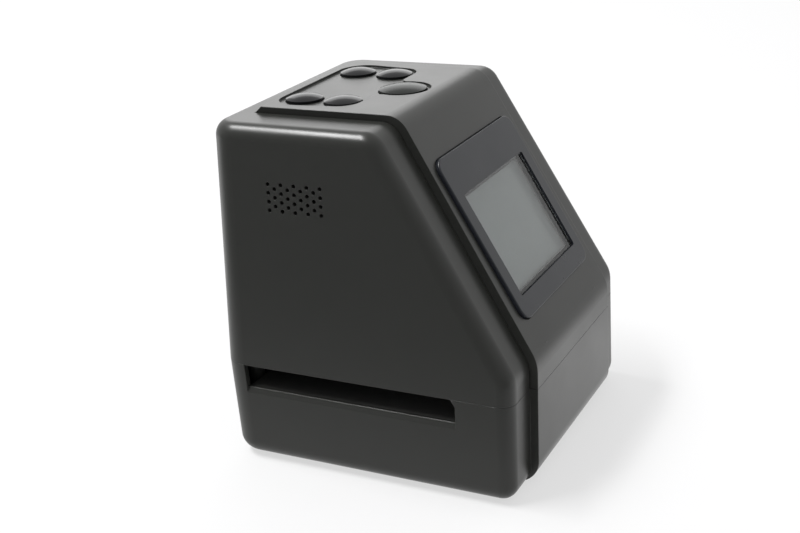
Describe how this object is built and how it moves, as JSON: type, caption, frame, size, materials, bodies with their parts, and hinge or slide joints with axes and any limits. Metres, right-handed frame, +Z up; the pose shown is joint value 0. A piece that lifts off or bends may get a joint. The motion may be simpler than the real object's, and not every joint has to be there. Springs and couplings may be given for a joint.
{
  "type": "film negative scanner",
  "caption": "Compact desktop film negative scanner with a sloping display face, push buttons on top and a film holder slot right through its base.",
  "frame": {"origin": "on the surface it stands on, under the middle of its outline", "axes": "+X to the right seen from the front, +Y from the front to the back, +Z up"},
  "size_m": [0.1056, 0.1108, 0.1227],
  "materials": {
    "case_plastic": "black moulded plastic with a fine, soft sheen",
    "bezel_plastic": "smooth satin black plastic",
    "window_glass": "clear display window",
    "lens_glass": "coated lens glass",
    "display": "grey switched-off display",
    "steel": "plated steel",
    "button_plastic": "glossy black plastic",
    "board": "green lacquered circuit board",
    "chip_plastic": "black moulded resin",
    "inner_plastic": "flat black plastic that does not reflect",
    "white_plastic": "white diffusing plastic",
    "rubber": "soft black rubber",
    "speaker_paper": "black paper cone on a steel basket"
  },
  "bodies": {
    "housing": {"base_tub": "case_plastic", "bed_screws": "steel", "board_chips": "chip_plastic", "bracket_screws": "steel", "button_board": "board", "button_board_screws": "steel", "card_socket": "steel", "case_screws": "steel", "diffuser": "white_plastic", "display_bezel": "bezel_plastic", "display_window": "window_glass", "film_bed": "inner_plastic", "film_guide": "inner_plastic", "front_hood": "case_plastic", "guide_screws": "steel", "image_sensor": "chip_plastic", "lcd_bracket": "steel", "lcd_panel": "display", "led_board": "board", "leds": "white_plastic", "lens_barrel": "inner_plastic", "lens_glass": "lens_glass", "light_box": "white_plastic", "main_board": "board", "main_board_screws": "steel", "optics_tower": "inner_plastic", "rear_housing": "case_plastic", "rubber_feet": "rubber", "sensor_board": "board", "sensor_shroud": "rubber", "speaker": "speaker_paper", "tact_switches": "chip_plastic", "tower_screws": "steel", "usb_socket": "steel"},
    "back_left_button": {"button_back_left": "button_plastic", "plunger_back_left": "chip_plastic"},
    "back_right_button": {"button_back_right": "button_plastic", "plunger_back_right": "chip_plastic"},
    "middle_left_button": {"button_middle_left": "button_plastic", "plunger_middle_left": "chip_plastic"},
    "middle_right_button": {"button_middle_right": "button_plastic", "plunger_middle_right": "chip_plastic"},
    "front_button": {"button_front": "button_plastic", "plunger_front": "chip_plastic"}
  },
  "joints": [
    {"name": "back_left_press", "type": "slide", "parent": "housing", "child": "back_left_button", "axis": [0, 0, -1], "range_m": [0, 0.0005], "stiffness_N_per_m": 1500},
    {"name": "back_right_press", "type": "slide", "parent": "housing", "child": "back_right_button", "axis": [0, 0, -1], "range_m": [0, 0.0005], "stiffness_N_per_m": 1500},
    {"name": "middle_left_press", "type": "slide", "parent": "housing", "child": "middle_left_button", "axis": [0, 0, -1], "range_m": [0, 0.0005], "stiffness_N_per_m": 1500},
    {"name": "middle_right_press", "type": "slide", "parent": "housing", "child": "middle_right_button", "axis": [0, 0, -1], "range_m": [0, 0.0005], "stiffness_N_per_m": 1500},
    {"name": "front_press", "type": "slide", "parent": "housing", "child": "front_button", "axis": [0, 0, -1], "range_m": [0, 0.0005], "stiffness_N_per_m": 1500}
  ]
}
